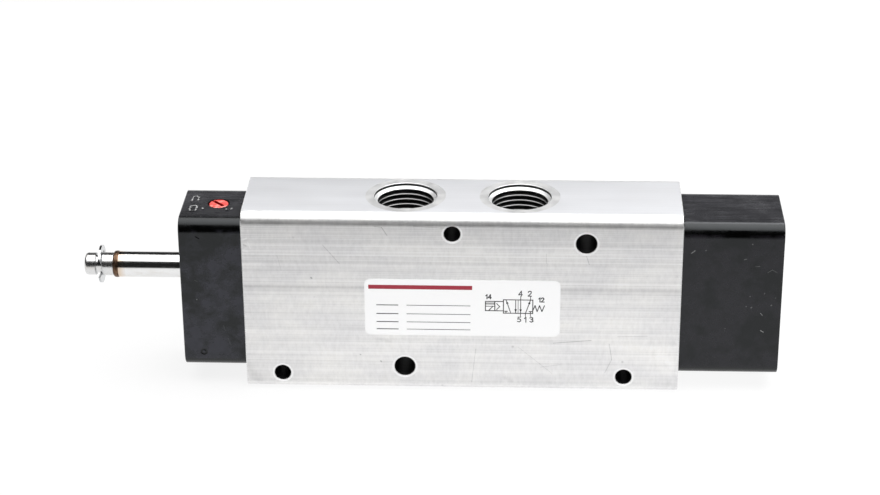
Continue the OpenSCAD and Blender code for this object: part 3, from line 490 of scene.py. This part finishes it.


def moulded_plastic(name, node, film, top_dust_and_sheen, rough, level, nicks, raised=False):
    """Black moulded plastic: fine grain, a mottled film on its flat faces, a paler top that is partly dust
    and partly painted sheen, and nicks.
    The top's dust and painted sheen is given at its front and at its back. raised says that it has raised
    marks, their tops painted pale as glints."""
    low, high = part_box(node)
    paint = Paint(name, Specular_IOR_Level=level, Specular_Tint=(0.93, 0.97, 1.0, 1))
    grain = paint.noise(0.00035, detail=2, rough=0.6)
    bloom = paint.noise((0.016, 0.012, 0.014), detail=5, rough=0.62, shift=(2, 5, 1))
    cloud = paint.noise(0.004, detail=4, rough=0.65, shift=(8, 1, 2))
    mottle = paint.calc("ADD", paint.span(bloom, 0.44, 0.56, -0.2, 0.6),
                        paint.span(cloud, 0.38, 0.62, -0.1, 0.5), clamp=True)
    x, y, z = paint.axes()
    on_front, *on_others = [
        paint.span(axis, *[edge + depth * inward for depth in SIDE_DEPTHS])
        for axis, edge, inward in ((y, low.y, MM), (y, high.y, -MM), (x, low.x, MM), (x, high.x, -MM))]
    on_side = paint.calc("MAXIMUM", on_front, *on_others)
    tone = paint.blend(paint.calc("MULTIPLY", mottle, on_side), PLASTIC_BLACK, film)
    streaks = paint.noise((0.012, 0.0011, 0.0011), detail=4, rough=0.6, shift=(3, 7, 1))
    # painted sheen, partly dust: the top is made paler, by the shares given for its front and its back
    dust_and_sheen = paint.calc(
        "MULTIPLY",
        paint.span(y, low.y * TOP_FADE[0], high.y * TOP_FADE[1], *top_dust_and_sheen),
        paint.span(streaks, 0.35, 0.65, 0.70, 1.30),
        paint.span(mottle, 0, 1, 0.85, 1.15),
        paint.span(z, *[high.z - depth * MM for depth in TOP_DEPTHS]))
    tone = paint.blend(dust_and_sheen, tone, (0.98, 0.98, 1.08, 1))
    if raised:
        # painted highlight: pale glints in patches on the raised marks' tops
        patches = paint.noise(0.0009, detail=2, shift=(5, 5, 5))
        painted_glints = paint.calc("MULTIPLY", paint.span(patches, 0.46, 0.60, 0.01, 0.50),
                            paint.span(z, high.z - GLINT_DEPTH * MM, high.z))
        tone = paint.blend(painted_glints, tone, PALE_NICK_AND_GLINT)
    for nick in nicks:
        tone = paint.blend(paint.calc("MULTIPLY", paint.scratch(*nick), on_front), tone, PALE_NICK_AND_GLINT)
    tone = paint.blend(paint.pits(0.0034, 0.085, 0.05, 1.0, rare=0.93), tone, grey(0.10))
    paint.colour(tone)
    paint.roughness(paint.calc("ADD", paint.span(bloom, 0.38, 0.62, rough, rough + 0.10),
                               paint.span(cloud, 0.30, 0.70, 0.0, 0.10)))
    paint.bump(grain, 0.000010)
    paint.bump(cloud, 0.00004)
    return paint.material


def label_film():
    """Glossy white film that waves a little."""
    paint = Paint("label_film", Specular_IOR_Level=0.5)
    wave = paint.noise((0.010, 0.010, 0.006), detail=2)
    paint.colour(paint.blend(wave, (0.93, 0.93, 0.935, 1), (0.96, 0.96, 0.96, 1)))
    paint.roughness(paint.span(wave, 0.3, 0.7, 0.30, 0.38))
    paint.bump(wave, 0.00001)
    return paint.material


def printed_ink(name, tone):
    """Ink that is paler where it is thin."""
    paint = Paint(name)
    thin = paint.noise(0.0006, detail=2)
    paint.colour(paint.blend(thin, tone, tuple(value * 1.25 + 0.01 for value in tone[:3]) + (1,)))
    paint.roughness(paint.span(thin, 0.3, 0.7, 0.40, 0.50))
    return paint.material


TINT_REACH = (0.0026, 0.0003)  # a weld's brown is gone at the first distance from it, and full at the second


def turned_steel(name, tone, rough, tint_at=None):
    """Polished steel turned on the tube's axis. tint_at is the X where welding has browned it."""
    paint = Paint(name, Metallic=1.0)
    lines = paint.noise((0.00010, 0.004, 0.004), detail=3, rough=0.6)
    colour = paint.blend(paint.span(lines, 0.35, 0.65), grey(tone * 0.94), grey(tone))
    smudge = paint.noise((0.006, 0.0025, 0.0025), detail=4, rough=0.6, shift=(3, 3, 5))
    smudge = paint.span(smudge, 0.50, 0.72, 0.0, 0.5)
    colour = paint.blend(smudge, colour, (tone * 0.80, tone * 0.76, tone * 0.70, 1))
    if tint_at is not None:
        away = paint.distance(paint.axes()[0], tint_at)
        colour = paint.blend(paint.span(away, *TINT_REACH, 0.0, 0.7), colour, (0.66, 0.48, 0.32, 1))
    paint.colour(colour)
    paint.roughness(paint.span(lines, 0.3, 0.7, rough, rough + 0.08))
    paint.bump(lines, 0.000002)
    return paint.material


def welded_steel():
    """The weld's ring, dark brown from the heat."""
    paint = Paint("heat_tinted_weld", Metallic=1.0)
    beads = paint.noise((0.0005, 0.0012, 0.0012), detail=2)
    paint.colour(paint.blend(paint.span(beads, 0.35, 0.65), (0.05, 0.030, 0.020, 1), (0.20, 0.12, 0.075, 1)))
    paint.roughness(paint.span(beads, 0.3, 0.7, 0.30, 0.45))
    paint.bump(beads, 0.00003)
    return paint.material


GRAIN = 0.0004


def plain_metal(name, tone, rough):
    """Metal with a faint grain."""
    paint = Paint(name, Metallic=1.0)
    grain = paint.noise(GRAIN, detail=2)
    paint.colour(paint.blend(paint.span(grain, 0.3, 0.7), dimmed(tone, 0.85), tone))
    paint.roughness(paint.span(grain, 0.3, 0.7, rough, rough + 0.1))
    paint.bump(grain, 0.000004)
    return paint.material


def soft_matt(name, tone, rough):
    """Rubber or plain plastic with a faint grain."""
    paint = Paint(name, Specular_IOR_Level=0.4)
    specks = paint.noise(GRAIN, detail=2)
    paint.colour(paint.blend(specks, dimmed(tone, 0.8), tone))
    paint.roughness(paint.span(specks, 0.3, 0.7, rough, rough + 0.1))
    paint.bump(specks, 0.00001)
    return paint.material


def red_plastic():
    """Glossy red plastic, paler pink in patches."""
    paint = Paint("red_plastic", Specular_IOR_Level=0.6)
    swirl = paint.noise(0.0012, detail=2)
    pale = paint.noise(0.0022, detail=1, shift=(1, 3, 2))
    colour = paint.blend(paint.span(swirl, 0.35, 0.65), (0.74, 0.065, 0.06, 1), (0.90, 0.15, 0.13, 1))
    paint.colour(paint.blend(paint.span(pale, 0.55, 0.66, 0.0, 0.5), colour, (0.96, 0.42, 0.36, 1)))
    paint.roughness(paint.span(swirl, 0.3, 0.7, 0.22, 0.32))
    paint.bump(swirl, 0.00001)
    return paint.material


def shaded_slot_red():
    """The inside of the override's slot: painted shade, a darker red, in patches."""
    tone = (0.36, 0.008, 0.008, 1)
    paint = Paint("slot_red", Specular_IOR_Level=0.2)
    slot_patches = paint.noise(0.0005, detail=2)
    paint.colour(paint.blend(slot_patches, dimmed(tone, 0.7), tone))
    paint.roughness(paint.span(slot_patches, 0.3, 0.7, 0.55, 0.75))
    return paint.material


# ---------------------------------------------------------------- pieces

def link(name, mesh):
    piece = bpy.data.objects.new(name, mesh)
    bpy.context.scene.collection.objects.link(piece)
    return piece


def stand_in(node, name, body, materials, choose=None):
    """An exact copy of a CAD node's mesh that stands for it. choose says which material a face takes."""
    mesh = NODES[node].data.copy()
    mesh.name = name
    mesh.materials.clear()
    for material in materials:
        mesh.materials.append(material)
    if choose:
        mesh.polygons.foreach_set("material_index", [choose(face) for face in mesh.polygons])
    piece = link(name, mesh)
    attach(piece, body)
    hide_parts(node)
    return piece


OUTER, NARROW, ENDS, RING, CUT, WALL, BORED, CREST, RIM = range(9)  # the kinds of the body's faces
BODY_CORNER = 4 * MM  # radius of its long edges
END_BEVEL = 0.2 * MM
RIM_DEPTH = 0.4 * MM  # the holes' chamfers lie within it of the front and the back
FLAT = 0.02 * MM  # a point that near to a plane or an outline counts as on it
ALONG = 0.1  # a face runs along the body if its normal's X is under this
ENDWISE = 0.5  # it can be one of an end's if that is over this
LEVEL = 0.99  # a face counts as level if its normal's Z is over this
SLOPING = 0.3  # it slopes, as a cut edge or a thread's crest does, if that is over this
PORT_REACH, PORT_DEPTH = 14 * MM, 16 * MM  # a port's faces lie within these of where its thread starts
RING_REACH = 12 * MM  # of a port's faces, only its milled ring and the step round that are further out
CREST_OUT = 0.2 * MM  # a thread's sloping faces that near to its inner radius are its crests


def make_body():
    """The extrusion, with its drawn faces, milled ends, machined rings and dark bores told apart."""
    low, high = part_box("valve_body")
    points = NODES["valve_body"].data.vertices
    ports = [m for m in frame["record"]["mounts"] if m["kind"] == "threaded_hole"]

    def on_profile(point):
        """Whether a point lies on the extrusion's outer outline."""
        y = max(abs(point.y) - (high.y - BODY_CORNER), 0)
        z = max(abs(point.z - (low.z + high.z) / 2) - ((high.z - low.z) / 2 - BODY_CORNER), 0)
        return abs(math.hypot(y, z) - BODY_CORNER) < FLAT

    def in_port(face):
        """The kind of a port's face, or None for any other face."""
        middle = face.center
        for port in ports:
            x, _, z = port["pos_m"]
            depth = (z - middle.z) * port["axis"][2]  # inwards from where the thread starts
            reach = math.hypot(middle.x - x, middle.y)
            if reach < PORT_REACH and depth < PORT_DEPTH:
                sloping = abs(face.normal.z) > SLOPING
                if abs(face.normal.z) > LEVEL and depth < 0:
                    return RING
                if reach > RING_REACH:
                    return RIM
                if depth < 0:
                    return CUT if sloping else WALL
                return CREST if sloping and reach < port["dims"]["r_mm"] * MM + CREST_OUT else BORED
        return None

    def kind(face):
        if abs(face.normal.x) < ALONG and all(on_profile(points[i].co) for i in face.vertices):
            return NARROW if abs(face.normal.z) > LEVEL else OUTER
        if abs(face.center.x) > high.x - END_BEVEL - FLAT and abs(face.normal.x) > ENDWISE:
            return ENDS
        found = in_port(face)
        if found is not None:
            return found
        return RIM if abs(face.center.y) > high.y - RIM_DEPTH else BORED

    finishes = [
        extruded_aluminium(), satin_aluminium(), sawn_aluminium(),
        machined_aluminium("ring_aluminium", 0.76, 0.55), machined_aluminium("cut_aluminium", 0.95, 0.50),
        # the counterbore walls, at tone 0.08, and the bores are painted shade
        machined_aluminium("shaded_wall_aluminium", 0.08, 0.50), shaded_bore_aluminium(),
        machined_aluminium("crest_aluminium", 0.42, 0.42),
        machined_aluminium("rim_aluminium", 0.75, 0.45, metallic=0.3),
    ]
    stand_in("valve_body", "body_extrusion", "valve", finishes, kind)


def make_override():
    """The override screw, with the inside of its slot told apart."""
    low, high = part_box("override_screw")
    middle = (low + high) / 2
    slot_reach, slot_floor = 2.75 * MM, 1.25 * MM

    def in_slot(face):
        reach = math.hypot(face.center.x - middle.x, face.center.y - middle.y)
        return int(reach < slot_reach and FLAT < high.z - face.center.z < slot_floor)

    stand_in("override_screw", "override_head", "override", [red_plastic(), shaded_slot_red()],
             in_slot)


def make_springs(steel):
    """The two springs, each a copy of its CAD node's mesh with its own mesh data, in spring steel."""
    for node, joint, fixed in (("return_spring", "spool_shift", 1), ("plunger_spring", "plunger_lift", 0)):
        spring = stand_in(node, node + "_coils", "valve", [steel])
        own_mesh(spring)


# ---------------------------------------------------------------- label print

INK_PROUD, INK_DEEP = 0.01 * MM, 0.02 * MM  # how far the print stands out of the label and reaches into it
LINE = 0.31  # width of a drawn line, in mm
ARROW_SHORT, ARROW_LONG, ARROW_HALF = 0.35, 1.15, 0.42  # a head's gap before its tip, length, half width
ONE_STEP, DIGIT_STEP = 0.62, 0.86  # from a 1, or from another digit, to the next, in parts of the height
PORT_DIGIT, PILOT_DIGIT = 1.8, 1.5  # heights, in mm

# Each digit's lines, in a cell one high
DIGITS = {
    "1": [[(0.08, 0.74), (0.34, 0.98), (0.34, 0)]],
    "2": [[(0.02, 0.76), (0.10, 0.93), (0.30, 1), (0.50, 0.93), (0.57, 0.74), (0.48, 0.52), (0, 0),
           (0.60, 0)]],
    "3": [[(0.03, 0.84), (0.28, 1), (0.52, 0.90), (0.54, 0.66), (0.26, 0.53)],
          [(0.26, 0.53), (0.56, 0.42), (0.58, 0.14), (0.28, 0), (0, 0.14)]],
    "4": [[(0.46, 0), (0.46, 1), (0, 0.27), (0.62, 0.27)]],
    "5": [[(0.54, 1), (0.12, 1), (0.06, 0.56), (0.30, 0.64), (0.54, 0.52), (0.58, 0.22), (0.30, 0),
           (0, 0.12)]],
}


class Print:
    """Ink on the label: thin closed plates, placed in mm from the label's lower left corner."""

    def __init__(self):
        self.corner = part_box("name_label")[0]
        self.points, self.faces = [], []

    def plate(self, outline):
        """One plate. Its outline runs anticlockwise as the label is read."""
        first, count = len(self.points), len(outline)
        for y in (-INK_PROUD, INK_DEEP):
            self.points += [self.corner + Vector((u * MM, y, v * MM)) for u, v in outline]
        front, back = range(first, first + count), range(first + count, first + 2 * count)
        self.faces += [tuple(front), tuple(reversed(back))]
        for i in range(count):
            j = (i + 1) % count
            self.faces.append((front[j], front[i], back[i], back[j]))

    def bar(self, left, low, right, high):
        self.plate([(left, low), (right, low), (right, high), (left, high)])

    def line(self, *points, width=LINE):
        for start, end in zip(points, points[1:]):
            start, end = Vector(start), Vector(end)
            reach = (end - start).normalized() * width / 2
            side = Vector((-reach.y, reach.x))
            start, end = start - reach, end + reach
            self.plate([start - side, end - side, end + side, start + side])

    def box(self, left, low, right, high):
        self.line((left, low), (right, low), (right, high), (left, high), (left, low))

    def arrow(self, tail, tip):
        """A line with a filled head that ends a little short of its tip."""
        self.line(tail, tip, width=LINE * 0.85)
        back = (Vector(tail) - Vector(tip)).normalized()
        head = Vector(tip) + back * ARROW_SHORT
        base, side = head + back * ARROW_LONG, Vector((-back.y, back.x)) * ARROW_HALF
        self.plate([head, base + side, base - side])

    def number(self, digits, left, low, high, width=LINE):
        for digit in digits:
            for drawn in DIGITS[digit]:
                self.line(*[(left + u * high, low + v * high) for u, v in drawn], width=width)
            left += (ONE_STEP if digit == "1" else DIGIT_STEP) * high

    def make(self, name, ink):
        mesh = bpy.data.meshes.new(name)
        mesh.from_pydata(self.points, [], self.faces)
        mesh.materials.append(ink)
        piece = link(name, mesh)
        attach(piece, "valve")


def make_print():
    """A plain red bar, blank ruled lines, and the standard symbol of a 5/2 valve with its port numbers."""
    red = Print()
    red.bar(1.3, 17.0, 35.7, 18.5)
    red.make("label_red_print", printed_ink("red_ink", (0.30, 0.012, 0.03, 1)))

    ink = Print()
    for height in (11.1, 7.9, 4.9, 2.2):
        ink.line((4.0, height), (11.0, height))
        ink.line((14.0, height), (35.0, height), width=LINE * 0.7)

    # The two squares, one for each place of the spool
    left, middle, right, low, high = 46.05, 50.9, 55.75, 8.6, 13.55
    ink.box(left, low, right, high)
    ink.line((middle, low), (middle, high), width=LINE * 0.6)
    for end, lean, down, blocked in (
            (right - 0.75, right - 2.4, middle + 0.85, right - 0.75),
            (left + 0.85, left + 2.45, middle - 0.80, left + 0.85)):
        ink.arrow((lean, low), (end, high))
        ink.arrow((down, high), (down, low))
        ink.line((blocked, low), (blocked, low + 0.7))
        ink.line((blocked - 0.4, low + 0.7), (blocked + 0.4, low + 0.7))
    for port in (middle + 0.85, right - 0.75):
        ink.line((port, high), (port, high + 1.3), width=LINE * 0.8)
    for port in (middle + 0.85, right - 2.4, right - 0.75):
        ink.line((port, low), (port, low - 1.1), width=LINE * 0.8)

    # The coil with its override and pilot on the left, and the spring on the right
    coil_left, coil_right, coil_low, coil_high = 40.1, 43.2, 9.45, 12.9
    ink.box(coil_left, coil_low, coil_right, coil_high)
    for height in (11.1, 11.9, 12.3):
        ink.line((coil_left, height), (coil_right, height), width=LINE * 0.8)
    ink.line((coil_left + 1.1, coil_low + 0.1), (coil_right - 0.7, 11.0))
    for height in (coil_low, coil_high):
        ink.line((coil_right, height), (left, height))
    ink.line((43.8, 12.1), (44.8, 11.0), (43.8, 9.9), width=LINE * 0.9)
    ink.line((right, 9.6), (56.5, 11.5), (57.2, 9.4), (58.0, 11.5), (58.8, 9.4), (59.6, 11.5))

    for digits, place, height in (("14", coil_left, 13.85), ("12", 57.6, 12.9)):
        ink.number(digits, place, height, PILOT_DIGIT, width=LINE * 1.1)
    for digit, place, height in (
            ("4", 51.1, 15.0), ("2", 54.2, 15.0), ("5", 50.75, 5.4), ("1", 52.9, 5.4), ("3", 54.8, 5.4)):
        ink.number(digit, place, height, PORT_DIGIT)
    ink.make("label_black_print", printed_ink("black_ink", (0.012, 0.012, 0.014, 1)))


def main():
    make_camera()
    make_world()
    make_lights()
    make_table()

    make_body()
    make_override()
    make_print()
    finishes = {
        "pilot_head": moulded_plastic(
            "head_plastic", "pilot_head", film=(0.021, 0.0205, 0.028, 1), top_dust_and_sheen=(0.024, 0.042),
            rough=0.15, level=0.41, nicks=HEAD_NICKS, raised=True),
        "spring_cover": moulded_plastic(
            "cover_plastic", "spring_cover", film=(0.010, 0.0088, 0.0115, 1), top_dust_and_sheen=(0.036, 0.040),
            rough=0.13, level=0.39, nicks=COVER_NICKS),
        "name_label": label_film(),
        "armature_tube": turned_steel("stainless_tube", 0.84, 0.12, tint_at=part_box("armature_tube")[0].x),
        "weld_ring": welded_steel(),
        "fixed_core": turned_steel("stainless_core", 0.74, 0.22),
        "retaining_clip": plain_metal("clip_steel", (0.60, 0.61, 0.62, 1), 0.12),
    }
    by_slot = {
        "nitrile_rubber": soft_matt("nitrile_rubber", (0.016, 0.016, 0.016, 1), 0.55),
        "black_screw": plain_metal("black_screw", (0.06, 0.06, 0.062, 1), 0.30),
        "sintered_bronze": plain_metal("sintered_bronze", (0.55, 0.38, 0.18, 1), 0.5),
        "brass": plain_metal("brass", (0.78, 0.60, 0.30, 1), 0.25),
        "acetal": soft_matt("acetal", (0.80, 0.80, 0.77, 1), 0.4),
        "machined_aluminium": machined_aluminium("inner_aluminium", 0.5, 0.22),
        "spring_steel": plain_metal("spring_steel", (0.45, 0.46, 0.48, 1), 0.25),
        "black_plastic": soft_matt("black_insert", (0.03, 0.03, 0.032, 1), 0.5),
        "copper": plain_metal("copper", (0.85, 0.50, 0.32, 1), 0.25),
        "polished_steel": plain_metal("polished_steel", (0.70, 0.70, 0.72, 1), 0.12),
        "stainless_core": turned_steel("stainless_plunger", 0.7, 0.15),
    }
    make_springs(by_slot["spring_steel"])
    for name, node in NODES.items():
        material = finishes.get(name) or by_slot.get(node.data.materials[0].name)
        if material:
            node.material_slots[0].material = material

    bpy.context.scene.view_settings.view_transform = "Standard"


main()
